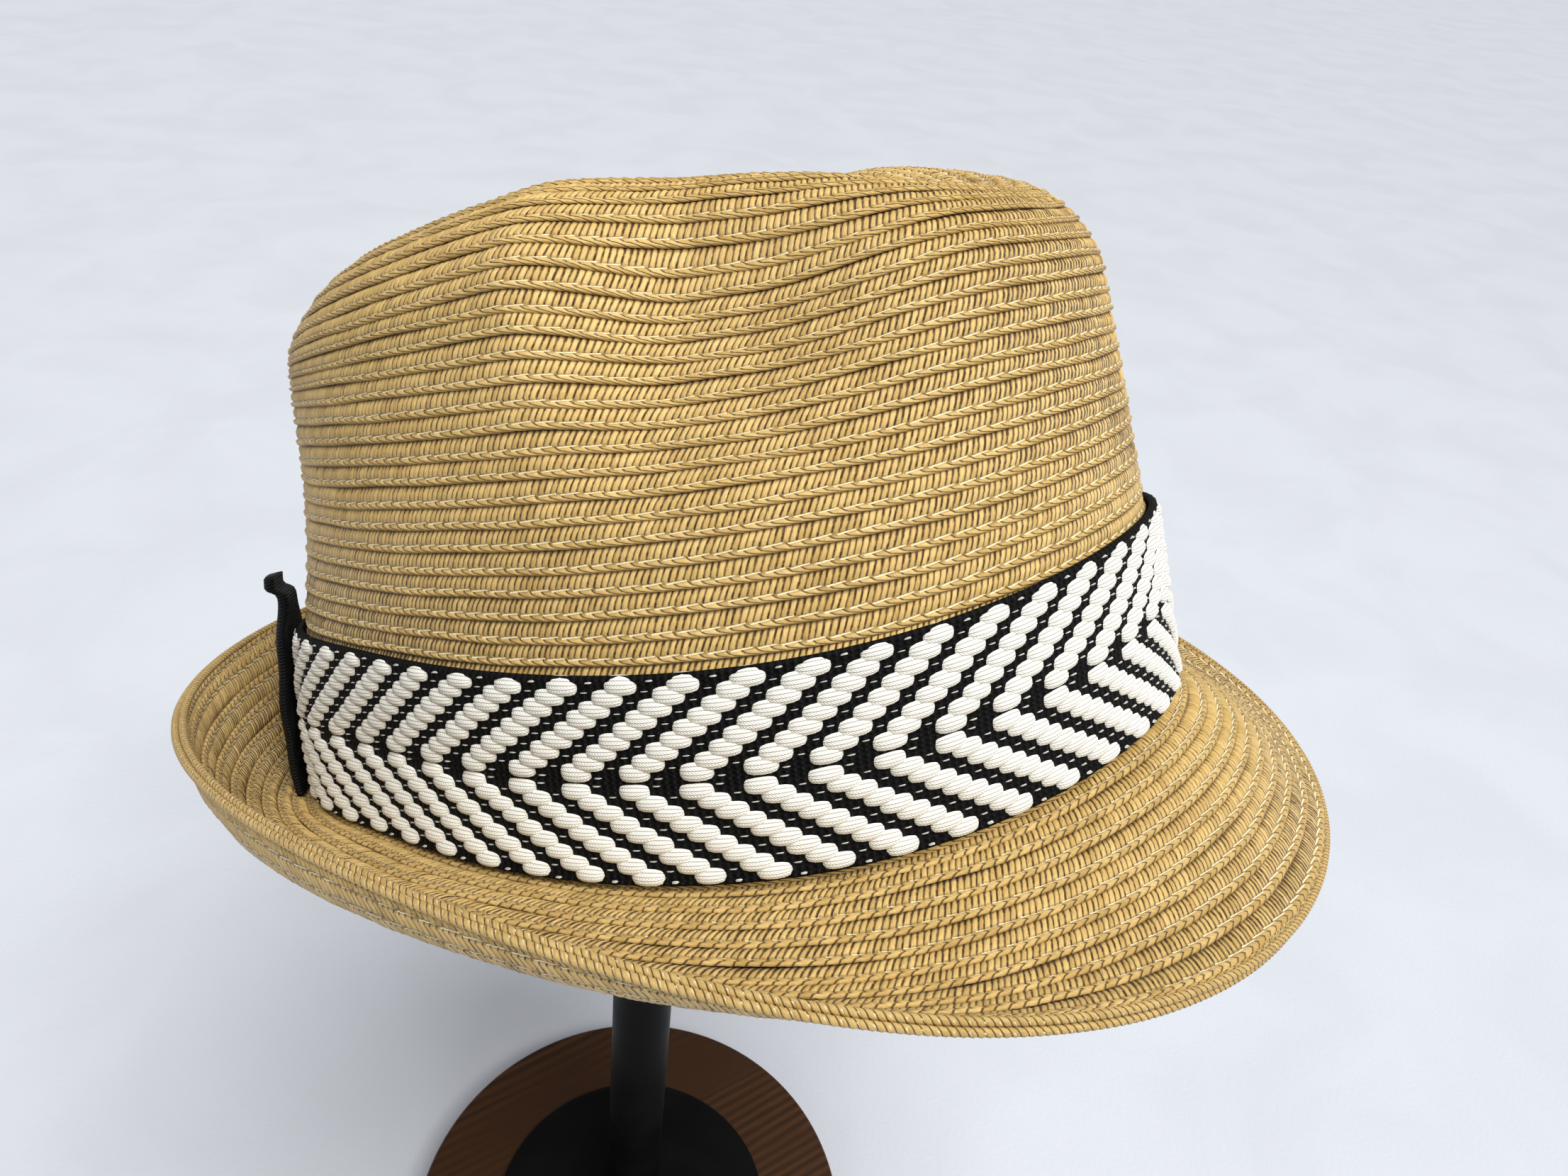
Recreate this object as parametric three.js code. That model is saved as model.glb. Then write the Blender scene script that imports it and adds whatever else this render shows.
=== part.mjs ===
// Straw fedora on a plain hat stand. Millimetres, +Z up along the stand's pole.
// The origin is the centre of the base's underside, and the hat's front looks towards -Y.
import * as THREE from 'three';
import { mergeVertices } from 'three/addons/utils/BufferGeometryUtils.js';

// The hat has its own frame: +X to its front, +Y to the wearer's left, +Z up through the crown,
// with its origin in the middle of the crown's foot. Angles go round from the front to the left.

// Where the hat sits on the stand
const lean = { angle: 26.3, towards: -36.8 };            // degrees: tilt of the pole in the hat's frame, and its heading
const poleThrough = { x: -3.1, y: -1.1, z: 88.3 };       // the pole's line passes this point of the hat's frame
const heightThere = 405.8;                               // height of that point above the base's underside

// Crown: a sewn-braid block before it is creased
const crown = {
  halfLength: 100.5, halfWidth: 84.0,                    // outer oval at the foot
  height: 125.0, shoulder: 21.0, foot: -0.6,             // shoulder is the radius from wall to tip
  taperLength: 0.059, taperWidth: 0.047, lean: 1.2,      // how the wall draws in as it rises
  frontDrop: 12.0, frontFrom: 0.35, frontPower: 2.2,     // the front of the tip is lower
  tipRise: 1.0, tipRun: 70.0,                            // the tip's slight dome
  wall: 2.0,
};
// Dents pressed into the block
const press = { from: 88, over: 30 };                    // height over which the top is moved
const farRise = { slope: 0.07, from: 0, over: 45 };      // the wearer's left ridge stands higher in front
const backFall = { drop: 6.8, from: 25, round: 8, over: 80 };
const pinch = { depth: 0.22, sink: 7.5, ease: 0.6, back: 2, backOver: 28, front: 40, frontOver: 45, low: 56, high: 118 };
const crease = { back: -64, front: 58, depthBack: 24, depthFront: 14, halfBack: 26, halfFront: 14, low: 88, high: 124 };
const lineWave = { twice: 2.0, thrice: 2.15, fade: 110 };  // the brim line dips and lifts round the head
// The back of the oval is squarer than an ellipse: its corners stand out at the foot and ease into the wall
const backCorner = { out: 7.2, middle: -0.80, over: 0.22, sides: 0.5, from: 12, fade: 68 };

// Brim: each section is a curve from the crown's foot to the edge. Rows of a section's values round the head:
// a constant, then the shares of cos, cos of twice, cos of three times, sin, sin of twice, cos of four times the angle.
const brim = {
  halfLength: 99.5, halfWidth: 83.0, root: -2.3,
  climb: [0.264, -0.805, -0.222, -0.051, 0.071, 0.013, 0.02],   // radians, from root to edge
  curlIn: [0.205, -0.61, -0.015, 0, -0.047, 0, 0],              // radians less than the climb at the root
  curlOut: [0.60, -0.14, -0.55, 0, 0, 0, 0],                    // radians more than the climb at the edge
  reach: [43.6, -1.5, 1.8, 0, 0, 0, 0],                         // straight distance from root to edge
  pullIn: 0.38, pullOut: 0.46,
  wall: 2.2, edge: 3.4, edgeFrom: 0.94,                         // the edge is two ropes thick
};

// Band and the tab over its join
const band = { halfLength: 103.0, halfWidth: 86.5, topLength: 101.0, topWidth: 84.5, foot: 0.7, height: 40.1, wall: 2.0 };
const tab = { angle: -150, width: 15, wall: 2.4, gap: 0.4, foot: 2.0, neckAt: 41, neckWidth: 8, top: 51 };

// Stand
const base = { radius: 88.5, height: 18, edge: 2.5 };
const flange = { radius: 55.7, rim: 2.0, height: 6.0 };
const pole = { radius: 10.3 };
const rest = { radius: 35, ball: 46, skirt: 4, gap: 0.35 };

const turn = 2 * Math.PI;
const steps = { round: 64, wall: 9, shoulder: 5, tip: 7, brim: 7, dome: 5 };

const clamp = (t) => Math.min(Math.max(t, 0), 1);
const smooth = (t) => clamp(t) ** 2 * (3 - 2 * clamp(t));
const mix = (a, b, t) => a + (b - a) * t;
const degrees = (a) => (a * Math.PI) / 180;

// Sum of a constant and waves round the head, as the brim's table gives them
function around(c, a) {
  return c[0] + c[1] * Math.cos(a) + c[2] * Math.cos(2 * a) + c[3] * Math.cos(3 * a)
    + c[4] * Math.sin(a) + c[5] * Math.sin(2 * a) + c[6] * Math.cos(4 * a);
}

const footWave = (a) => lineWave.twice * Math.cos(2 * a) + lineWave.thrice * Math.cos(3 * a);

// How far the foot's back corners stand out from the ellipse at an angle and a height, and the way out from it
const cornerOut = (a, height) => backCorner.out * Math.exp(-(((Math.cos(a) - backCorner.middle) / backCorner.over) ** 2))
  * smooth(Math.abs(Math.sin(a)) / backCorner.sides) * (1 - smooth((height - backCorner.from) / backCorner.fade));
const wayOut = (a) => new THREE.Vector2(Math.cos(a) / crown.halfLength, Math.sin(a) / crown.halfWidth).normalize();

// Heights and lengths of the block's section at one angle
function blockSection(a) {
  const front = clamp((Math.cos(a) - crown.frontFrom) / (1 - crown.frontFrom));
  const drop = crown.frontDrop * front ** crown.frontPower;
  const top = crown.height - drop;
  const wall = top - crown.shoulder - crown.foot;
  const arc = (crown.shoulder * Math.PI) / 2;
  const widthAtTop = crown.halfWidth - crown.taperWidth * top - crown.lean * (top / 100) ** 3;
  return { drop, wall, arc, tip: widthAtTop - crown.shoulder };
}

// A point of the uncreased block: up the wall, round the shoulder, then in over the tip to a short middle line
function blockPoint(a, s) {
  const section = blockSection(a);
  const bend = Math.min(Math.max((s - section.wall) / crown.shoulder, 0), Math.PI / 2);
  const tip = Math.max(s - section.wall - section.arc, 0);
  const rise = Math.min(s, section.wall) + crown.shoulder * Math.sin(bend) + crown.foot;
  const inset = crown.shoulder * (1 - Math.cos(bend)) + tip + crown.lean * (Math.max(rise, 0) / 100) ** 3;
  const dome = (section.drop + crown.tipRise) * (1 - (1 - clamp(tip / crown.tipRun)) ** 2);
  const length = crown.halfLength - crown.taperLength * Math.max(rise, 0) - inset;
  const width = Math.max(crown.halfWidth - crown.taperWidth * Math.max(rise, 0) - inset, 0);
  return new THREE.Vector3(length * Math.cos(a), width * Math.sin(a), rise + dome);
}

// How strongly the side pinch acts at x: steep behind, easy in front
const pinchAt = (x) => smooth((x - pinch.back) / pinch.backOver) * (1 - smooth((x - pinch.front) / pinch.frontOver));

// The crown's outer face: the block with its dents pressed in
function crownPoint(a, s) {
  const p = blockPoint(a, s);
  const { x, z: blockZ } = p;
  const top = smooth((blockZ - press.from) / press.over);
  let z = blockZ + farRise.slope * Math.max(p.y + 10, -20) * smooth((x - farRise.from) / farRise.over) * top;
  const behind = backFall.from - x;
  z -= (backFall.drop * top * (behind + Math.hypot(behind, backFall.round))) / (2 * backFall.over);
  const level = smooth((blockZ - pinch.low) / (pinch.high - pinch.low));
  const y = p.y * (1 - pinch.depth * pinchAt(x) * level);
  z -= pinch.sink * pinchAt(x) * level * (1 - pinch.ease * smooth((blockZ - 106) / 18));
  const along = clamp((x - crease.back) / (crease.front - crease.back));
  const ends = smooth((x - crease.back + 20) / 40) * smooth((crease.front + 14 - x) / 28);
  const deep = mix(crease.depthBack, crease.depthFront, along) * ends;
  const half = mix(crease.halfBack, crease.halfFront, along);
  z -= deep * Math.exp(-((y / half) ** 2)) * smooth((blockZ - crease.low) / (crease.high - crease.low));
  z += footWave(a) * (1 - smooth(blockZ / lineWave.fade));
  const out = wayOut(a).multiplyScalar(cornerOut(a, blockZ));
  return new THREE.Vector3(x + out.x, y + out.y, z);
}

// Unit normal of a surface point(a, s), away from the hat's inside
function normalOf(point, a, s, flip) {
  const step = 1e-3;
  const along = point(a + step, s).sub(point(a - step, s));
  const up = point(a, s + step).sub(point(a, s - step));
  return along.cross(up).multiplyScalar(flip).normalize();
}

// Distances along the block's section at which the crown's rows of vertices lie
function crownStations(a) {
  const { wall, arc, tip } = blockSection(a);
  const list = [];
  for (let i = 0; i < steps.wall; i += 1) list.push(wall * Math.sin((i / steps.wall) * (Math.PI / 2)));
  for (let i = 0; i < steps.shoulder; i += 1) list.push(wall + (arc * i) / steps.shoulder);
  for (let i = 0; i <= steps.tip; i += 1) list.push(wall + arc + (tip * i) / steps.tip);
  return list;
}

// Joins rows of points, each a closed loop of the same count, into one closed mesh.
// Points that coincide are merged and the triangles that this flattens are dropped.
function closedMesh(rows, closeRows) {
  const count = rows[0].length;
  const position = rows.flat().flatMap((p) => [p.x, p.y, p.z]);
  const corners = [];
  const last = closeRows ? rows.length : rows.length - 1;
  for (let j = 0; j < last; j += 1) {
    const k = (j + 1) % rows.length;
    for (let i = 0; i < count; i += 1) {
      const n = (i + 1) % count;
      corners.push(j * count + i, j * count + n, k * count + n);
      corners.push(j * count + i, k * count + n, k * count + i);
    }
  }
  let geometry = new THREE.BufferGeometry();
  geometry.setAttribute('position', new THREE.Float32BufferAttribute(position, 3));
  geometry.setIndex(corners);
  geometry = mergeVertices(geometry, 1e-4);
  const index = Array.from(geometry.index.array);
  const kept = [];
  for (let i = 0; i < index.length; i += 3) {
    const [a, b, c] = index.slice(i, i + 3);
    if (a !== b && b !== c && c !== a) kept.push(a, b, c);
  }
  geometry.setIndex(volumeOf(geometry, kept) > 0 ? kept : kept.reverse());
  geometry.computeVertexNormals();
  return geometry;
}

// Signed volume of a triangle list, positive when its faces point out
function volumeOf(geometry, index) {
  const at = (i) => new THREE.Vector3().fromBufferAttribute(geometry.attributes.position, i);
  let sum = 0;
  for (let i = 0; i < index.length; i += 3) sum += at(index[i]).dot(at(index[i + 1]).cross(at(index[i + 2])));
  return sum / 6;
}

const angles = Array.from({ length: steps.round }, (_, i) => (turn * i) / steps.round);
const mirrorOf = (i) => (i <= steps.round / 2 ? i : steps.round - i);   // the tip's two sides meet on one line

function crownInner(a, s, isTip) {
  const inside = tipSafe(a, s, isTip);
  const p = crownPoint(a, s);
  const moved = p.clone().addScaledVector(inside, -crown.wall);
  if (s === 0) moved.z = p.z;
  return moved;
}

// Outward normal, made the same on both sides of the middle line where the tip closes
function tipSafe(a, s, isTip) {
  const away = normalOf(crownPoint, a, isTip ? s - 0.5 : s, 1);
  if (!isTip) return away;
  return away.add(normalOf(crownPoint, -a, s - 0.5, 1)).normalize();
}

function makeCrown() {
  const outer = [];
  const inner = [];
  const total = crownStations(0).length;
  for (let j = 0; j < total; j += 1) {
    const isTip = j === total - 1;
    const pick = (i) => angles[isTip ? mirrorOf(i) : i];
    outer.push(angles.map((_, i) => crownPoint(pick(i), crownStations(pick(i))[j])));
    inner.push(angles.map((_, i) => crownInner(pick(i), crownStations(pick(i))[j], isTip)));
  }
  for (const p of outer[total - 1]) p.y = 0;
  return closedMesh([...outer.reverse(), ...inner], false);
}

// Section of the brim at one angle: out from the root and up, as a curve with two handles
function brimSection(a, t) {
  const climb = around(brim.climb, a);
  const start = climb - around(brim.curlIn, a);
  const end = climb + around(brim.curlOut, a);
  const reach = around(brim.reach, a);
  const handleIn = brim.pullIn * reach;
  const handleOut = brim.pullOut * reach;
  const curve = new THREE.CubicBezierCurve(
    new THREE.Vector2(0, 0),
    new THREE.Vector2(handleIn * Math.cos(start), handleIn * Math.sin(start)),
    new THREE.Vector2(reach * Math.cos(climb) - handleOut * Math.cos(end), reach * Math.sin(climb) - handleOut * Math.sin(end)),
    new THREE.Vector2(reach * Math.cos(climb), reach * Math.sin(climb)),
  );
  return curve.getPoint(t);
}

// The middle of the brim's thickness
function brimPoint(a, t) {
  const out = new THREE.Vector2(Math.cos(a) / brim.halfLength, Math.sin(a) / brim.halfWidth).normalize();
  const { x, y: up } = brimSection(a, t);
  const away = x + cornerOut(a, 0) * (1 - t) ** 2;
  return new THREE.Vector3(
    brim.halfLength * Math.cos(a) + away * out.x,
    brim.halfWidth * Math.sin(a) + away * out.y,
    brim.root + footWave(a) + up,
  );
}

function makeBrim() {
  const stations = Array.from({ length: steps.brim }, (_, i) => (brim.edgeFrom * i) / (steps.brim - 1));
  stations.push(1);
  const half = (t) => mix(brim.wall, brim.edge, smooth((t - brim.edgeFrom + 0.05) / 0.08)) / 2;
  const normalAt = (a, t) => normalOf(brimPoint, a, Math.min(Math.max(t, 0.002), 0.998), -1);
  const row = (t, side) => angles.map((a) => brimPoint(a, t).addScaledVector(normalAt(a, t), side * half(t)));
  const top = stations.map((t) => row(t, 1));
  const under = stations.map((t) => row(t, -1));
  return closedMesh([...top, ...under.reverse()], true);
}

// A loop of the band at a share of its height, so far in from its outer face
function bandLoop(share, inset) {
  const length = mix(band.halfLength, band.topLength, share) - inset;
  const width = mix(band.halfWidth, band.topWidth, share) - inset;
  const height = mix(band.foot, band.height, share);
  return angles.map((a) => {
    const corner = wayOut(a).multiplyScalar(cornerOut(a, height));
    return new THREE.Vector3(length * Math.cos(a) + corner.x, width * Math.sin(a) + corner.y, footWave(a) + height);
  });
}

function makeBand() {
  const shares = [0, 0.35, 0.68, 1];
  const outer = shares.map((share) => bandLoop(share, 0));
  const inner = shares.map((share) => bandLoop(share, band.wall)).reverse();
  return closedMesh([...outer, ...inner], true);
}

// A point on the tab: across its width, at a height above the band's foot, so far out from the band
function tabPoint(across, height, out) {
  const share = height / band.height;
  const length = mix(band.halfLength, band.topLength, share) + out;
  const width = mix(band.halfWidth, band.topWidth, share) + out;
  const middle = degrees(tab.angle);
  const perMm = 1 / Math.hypot(length * Math.sin(middle), width * Math.cos(middle));
  const a = middle + across * perMm;
  const corner = wayOut(a).multiplyScalar(cornerOut(a, height));
  return new THREE.Vector3(length * Math.cos(a) + corner.x, width * Math.sin(a) + corner.y, footWave(a) + height);
}

function makeTab() {
  const heights = [tab.foot, 15, 27, 35, tab.neckAt, tab.neckAt + 4, tab.top];
  const widths = heights.map((height) => (height > tab.neckAt ? tab.neckWidth : tab.width));
  const shares = [-0.5, -0.25, 0, 0.25, 0.5];
  const loop = (height, width) => [
    ...shares.map((share) => tabPoint(share * width, height, tab.gap + tab.wall)),
    ...shares.map((share) => tabPoint(-share * width, height, tab.gap)),
  ];
  const loops = heights.map((height, i) => loop(height, widths[i]));
  const end = (height) => loop(height, 0).map(() => tabPoint(0, height, tab.gap + tab.wall / 2));
  return closedMesh([end(tab.foot), ...loops, end(tab.top)], false);
}

// Turns a profile of [radius, height] points, from axis to axis, round the pole
function turned(profile, sides) {
  const points = profile.map(([radius, height]) => new THREE.Vector2(radius, height));
  const geometry = new THREE.LatheGeometry(points, sides);
  geometry.rotateX(Math.PI / 2);
  geometry.deleteAttribute('normal');
  geometry.deleteAttribute('uv');
  return closedFromLathe(geometry);
}

// Merges a lathe's seam and axis points, and drops the triangles that this flattens
function closedFromLathe(geometry) {
  const merged = mergeVertices(geometry, 1e-4);
  const index = Array.from(merged.index.array);
  const kept = [];
  for (let i = 0; i < index.length; i += 3) {
    const [a, b, c] = index.slice(i, i + 3);
    if (a !== b && b !== c && c !== a) kept.push(a, b, c);
  }
  merged.setIndex(volumeOf(merged, kept) > 0 ? kept : kept.reverse());
  merged.computeVertexNormals();
  return merged;
}

const baseTop = base.height;
const makeBase = () => turned([
  [0, 0], [base.radius - 1, 0], [base.radius, 1], [base.radius, baseTop - base.edge],
  [base.radius - 0.7, baseTop - 0.7], [base.radius - base.edge, baseTop], [0, baseTop],
], 48);

const seam = 0.3;                                         // the gap that two stacked pieces of the stand keep
const flangeFoot = baseTop + seam;
const flangeTop = flangeFoot + flange.height;
const makeFlange = () => turned([
  [0, flangeFoot], [flange.radius, flangeFoot], [flange.radius, flangeFoot + flange.rim],
  [flange.radius * 0.8, flangeFoot + flange.height * 0.62], [flange.radius * 0.5, flangeFoot + flange.height * 0.88],
  [pole.radius * 1.6, flangeTop], [0, flangeTop],
], 48);

// The hat's place: its frame turned so that the pole's direction in it points up, and its front to -Y
function hatPlacement() {
  const tilt = degrees(lean.angle);
  const heading = degrees(lean.towards);
  const up = new THREE.Vector3(
    Math.sin(tilt) * Math.cos(heading), Math.sin(tilt) * Math.sin(heading), Math.cos(tilt));
  const front = new THREE.Vector3(1, 0, 0).addScaledVector(up, -up.x).normalize();
  const back = front.clone().negate();
  const side = back.clone().cross(up);
  const place = new THREE.Matrix4().makeBasis(side, back, up).transpose();
  const through = new THREE.Vector3(poleThrough.x, poleThrough.y, poleThrough.z).applyMatrix4(place);
  place.setPosition(-through.x, -through.y, heightThere - through.z);
  return place;
}
const placement = hatPlacement();

// Height of the rest's ball centre at which its face comes up to the crown's inside, less the gap
function restCentre() {
  const inner = [];
  for (const a of angles) {
    for (const s of crownStations(a)) {
      if (s > 60) inner.push(crownInner(a, s, false).applyMatrix4(placement));
    }
  }
  const clear = rest.ball + rest.gap;
  const heights = inner
    .filter((p) => Math.hypot(p.x, p.y) < clear)
    .map((p) => p.z - Math.sqrt(clear ** 2 - p.x ** 2 - p.y ** 2));
  return Math.min(...heights);
}
const ballCentre = restCentre();
const restEdge = ballCentre + Math.sqrt(rest.ball ** 2 - rest.radius ** 2);
const restFoot = restEdge - rest.skirt;

function makeRest() {
  const widest = Math.asin(rest.radius / rest.ball);
  const dome = [];
  for (let i = 0; i < steps.dome; i += 1) {
    const bend = widest * (1 - i / steps.dome);
    dome.push([rest.ball * Math.sin(bend), ballCentre + rest.ball * Math.cos(bend)]);
  }
  dome.push([0, ballCentre + rest.ball]);
  return turned([[0, restFoot], [rest.radius - 1.5, restFoot], [rest.radius, restFoot + 1.5], ...dome], 32);
}

const makePole = () => turned([
  [0, flangeTop + seam], [pole.radius, flangeTop + seam], [pole.radius, restFoot - seam], [0, restFoot - seam],
], 32);

const finish = (color, roughness) => new THREE.MeshStandardMaterial({ color, roughness, metalness: 0 });
const finishes = {
  straw: finish(0xd7ad69, 0.7), edge: finish(0xcfa25c, 0.7), weave: finish(0xc9c6bd, 0.85),
  ribbon: finish(0x17191c, 0.75), walnut: finish(0x5b3a26, 0.5), black: finish(0x101010, 0.4),
};

function named(name, geometry, material) {
  const mesh = new THREE.Mesh(geometry, material);
  mesh.name = name;
  return mesh;
}

const hat = new THREE.Group();
hat.add(
  named('crown', makeCrown(), finishes.straw),
  named('brim', makeBrim(), finishes.edge),
  named('band', makeBand(), finishes.weave),
  named('band_tab', makeTab(), finishes.ribbon),
);
hat.applyMatrix4(placement);

const stand = new THREE.Group();
stand.add(
  named('stand_base', makeBase(), finishes.walnut),
  named('stand_flange', makeFlange(), finishes.black),
  named('stand_pole', makePole(), finishes.black),
  named('stand_rest', makeRest(), finishes.black),
);

const model = new THREE.Group();
model.add(hat, stand);
export default model;
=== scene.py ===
# A straw fedora of sewn paper braid, worn on a turned hat stand.
# Lengths are in mm until a mesh is made. The hat has its own frame, as in the part's source:
# +X to its front, +Y to the wearer's left, +Z up through the crown.
import math

import bpy
import numpy as np
from mathutils import Matrix, Vector


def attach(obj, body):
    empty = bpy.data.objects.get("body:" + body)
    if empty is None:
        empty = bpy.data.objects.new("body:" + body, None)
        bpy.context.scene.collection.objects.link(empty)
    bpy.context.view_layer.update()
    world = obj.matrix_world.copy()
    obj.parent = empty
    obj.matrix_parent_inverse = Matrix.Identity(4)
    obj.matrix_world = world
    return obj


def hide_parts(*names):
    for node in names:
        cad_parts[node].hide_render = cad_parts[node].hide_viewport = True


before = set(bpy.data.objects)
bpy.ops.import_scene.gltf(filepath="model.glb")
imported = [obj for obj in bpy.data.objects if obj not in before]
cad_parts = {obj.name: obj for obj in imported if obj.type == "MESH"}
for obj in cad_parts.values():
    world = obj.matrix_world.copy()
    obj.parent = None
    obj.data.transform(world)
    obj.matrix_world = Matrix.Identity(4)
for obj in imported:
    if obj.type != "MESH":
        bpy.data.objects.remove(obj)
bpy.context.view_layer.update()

fullTurn = 2 * np.pi
smallTurn = 0.004


# Small tools for arrays and meshes

def smooth(t):
    # 0 to 1 with flat ends: t squared times (3 - 2t)
    t = np.clip(t, 0, 1)
    return t * t * (3 - 2 * t)


def risen(x, start, over):
    # a smooth step that begins at start and takes over to run
    return smooth((x - start) / over)


def between(pair, share):
    return pair[0] + (pair[1] - pair[0]) * share


def unit(vectors):
    size = np.linalg.norm(vectors, axis=-1, keepdims=True)
    return vectors / np.maximum(size, 1e-9)


def spanned(*parts):
    # the points of a grid, from arrays that span it together
    return np.stack(np.broadcast_arrays(*parts), axis=-1)


def runAlong(path):
    # distance from a line's first point to each of its points
    return np.concatenate([[0], np.cumsum(np.linalg.norm(np.diff(path, axis=0), axis=1))])


def wobble(u, seed, size, shortest=23.0):
    # sum of five sine waves of unlike lengths along u, so that nothing runs dead straight
    source = np.random.default_rng(seed)
    lengths = shortest * np.array([1.0, 1.63, 2.71, 4.9, 9.3])
    phases = source.uniform(0, fullTurn, 5)
    weights = np.array([0.5, 0.7, 0.9, 1.0, 1.0]) / 4.1
    return size * sum(w * np.sin(fullTurn * u / n + p) for w, n, p in zip(weights, lengths, phases))


def gridQuads(rows, columns, closeRows=False, closeColumns=False):
    # corner numbers of a grid's quads, row after row, as an array of four columns
    i = np.arange(rows if closeRows else rows - 1)
    j = np.arange(columns if closeColumns else columns - 1)
    i, j = np.meshgrid(i, j, indexing="ij")
    nextRow = (i + 1) % rows
    nextColumn = (j + 1) % columns
    quads = np.stack([i * columns + j, nextRow * columns + j,
                      nextRow * columns + nextColumn, i * columns + nextColumn], axis=-1)
    return quads.reshape(-1, 4)


def turnedOutward(points, quads, middle):
    # faces point out when a closed form's volume is positive, or when an open form's look away from middle
    a, b, c, d = (points[quads[:, k]] for k in range(4))
    if middle is None:
        return (a * (np.cross(b, c) + np.cross(c, d))).sum() >= 0
    return (np.cross(c - a, d - b) * ((a + c) / 2 - middle)).sum() >= 0


def addObject(name, data):
    item = bpy.data.objects.new(name, data)
    bpy.context.scene.collection.objects.link(item)
    return item


def makePiece(name, points, quads, uv, material, nodes, caps=(), middle=None):
    # points are in the part's frame; uv has a row for each corner of each quad
    points = points.reshape(-1, 3)
    if not turnedOutward(points, quads, middle):
        quads = quads[:, ::-1]
        uv = uv.reshape(-1, 4, 2)[:, ::-1].reshape(-1, 2)
        caps = [cap[::-1] for cap in caps]
    mesh = bpy.data.meshes.new(name)
    corners = np.concatenate([quads.ravel(), *caps]).astype(np.int32)
    sizes = np.array([4] * len(quads) + [len(cap) for cap in caps])
    mesh.vertices.add(len(points))
    mesh.vertices.foreach_set("co", (points * 0.001).astype(np.float32).ravel())
    mesh.loops.add(len(corners))
    mesh.loops.foreach_set("vertex_index", corners)
    mesh.polygons.add(len(sizes))
    mesh.polygons.foreach_set("loop_start", (np.cumsum(sizes) - sizes).astype(np.int32))
    mesh.polygons.foreach_set("use_smooth", np.ones(len(sizes), bool))
    mesh.update(calc_edges=True)
    layer = mesh.uv_layers.new(name="surface")
    allUv = np.zeros((len(corners), 2), np.float32)
    allUv[:len(uv)] = uv
    layer.uv.foreach_set("vector", allUv.ravel())
    mesh.materials.append(material)
    piece = addObject(name, mesh)
    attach(piece, "root")
    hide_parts(*nodes)
    print("piece", name, "triangles", (sizes - 2).sum())
    return piece


def makeTube(name, points, uv, material, nodes, closed=False):
    # Rows of closed loops, joined into a ring or capped at both ends. The uv grid has one more row or column
    # than the points where the tube closes on itself.
    rows, columns = points.shape[:2]
    quads = gridQuads(rows, columns, closed, True)
    cornerUv = uv.reshape(-1, 2)[gridQuads(*uv.shape[:2])].reshape(-1, 2)
    end = np.arange(columns)
    caps = [] if closed else [end, (rows - 1) * columns + end[::-1]]
    return makePiece(name, points, quads, cornerUv, material, nodes, caps)


# Where the hat sits on the stand

hatPlace = {"lean": 26.3, "towards": -36.8, "poleThrough": (-3.1, -1.1, 88.3), "height": 405.8,
            "middle": (0, 0, 60)}


def hatAxes():
    # the pole's direction in the hat's frame is up; the hat's back is what remains of -X
    tilt = math.radians(hatPlace["lean"])
    heading = math.radians(hatPlace["towards"])
    up = np.array([math.sin(tilt) * math.cos(heading), math.sin(tilt) * math.sin(heading), math.cos(tilt)])
    back = unit(up * up[0] - np.array([1.0, 0, 0]))
    return np.array([np.cross(back, up), back, up])


hatTurn = hatAxes()
hatShift = np.array([0, 0, hatPlace["height"]]) - hatTurn @ np.array(hatPlace["poleThrough"])


def onStand(points):
    # from the hat's frame to the part's
    return points @ hatTurn.T + hatShift


hatMiddle = onStand(np.array(hatPlace["middle"]))

footForm = {"twice": 2.0, "thrice": 2.15, "out": 7.2, "cornerAt": -0.80, "cornerOver": 0.22, "sides": 0.5,
            "fade": (12, 68)}


def footWave(a):
    # the brim line dips and lifts round the head: waves of twice and three times the angle
    return footForm["twice"] * np.cos(2 * a) + footForm["thrice"] * np.cos(3 * a)


def cornerOut(a, height):
    # how far the foot's squarer back corners stand out from the ellipse: a bell over the angle's cosine,
    # nothing on the middle line, easing into the wall above
    f = footForm
    bell = np.exp(-((np.cos(a) - f["cornerAt"]) / f["cornerOver"]) ** 2)
    aside = smooth(np.abs(np.sin(a)) / f["sides"])
    return f["out"] * bell * aside * (1 - risen(height, *f["fade"]))


# The crown's surface, from the same values as the part's source

crownForm = {
    "halfLength": 100.5, "halfWidth": 84.0, "height": 125.0, "shoulder": 21.0, "foot": -0.6,
    "taperLength": 0.059, "taperWidth": 0.047, "lean": 1.2,
    "frontDrop": 12.0, "frontFrom": 0.35, "frontPower": 2.2, "tipRise": 1.0, "tipRun": 70.0, "waveUpTo": 110,
}
# each pair of a step is its start and the length it takes
crownDents = {
    "press": (88, 30), "farSlope": 0.07, "farFrom": -10, "farLeast": -20, "farOver": 45,
    "backDrop": 6.8, "backFrom": 25, "backRound": 8, "backOver": 80,
    "pinchDepth": 0.22, "pinchSink": 7.5, "pinchBack": (2, 28), "pinchFront": (40, 45),
    "pinchLevel": (56, 62), "pinchEase": 0.6, "pinchTop": (106, 18),
    "creaseBack": -64, "creaseFront": 58, "creaseDeep": (24, 14), "creaseHalf": (26, 14),
    "creaseLevel": (88, 36), "backEnd": (-84, 40), "frontEnd": (44, 28),
}


def wayOut(a):
    # level direction away from the oval
    f = crownForm
    return unit(np.stack([np.cos(a) / f["halfLength"], np.sin(a) / f["halfWidth"], 0 * a], axis=-1))


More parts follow.
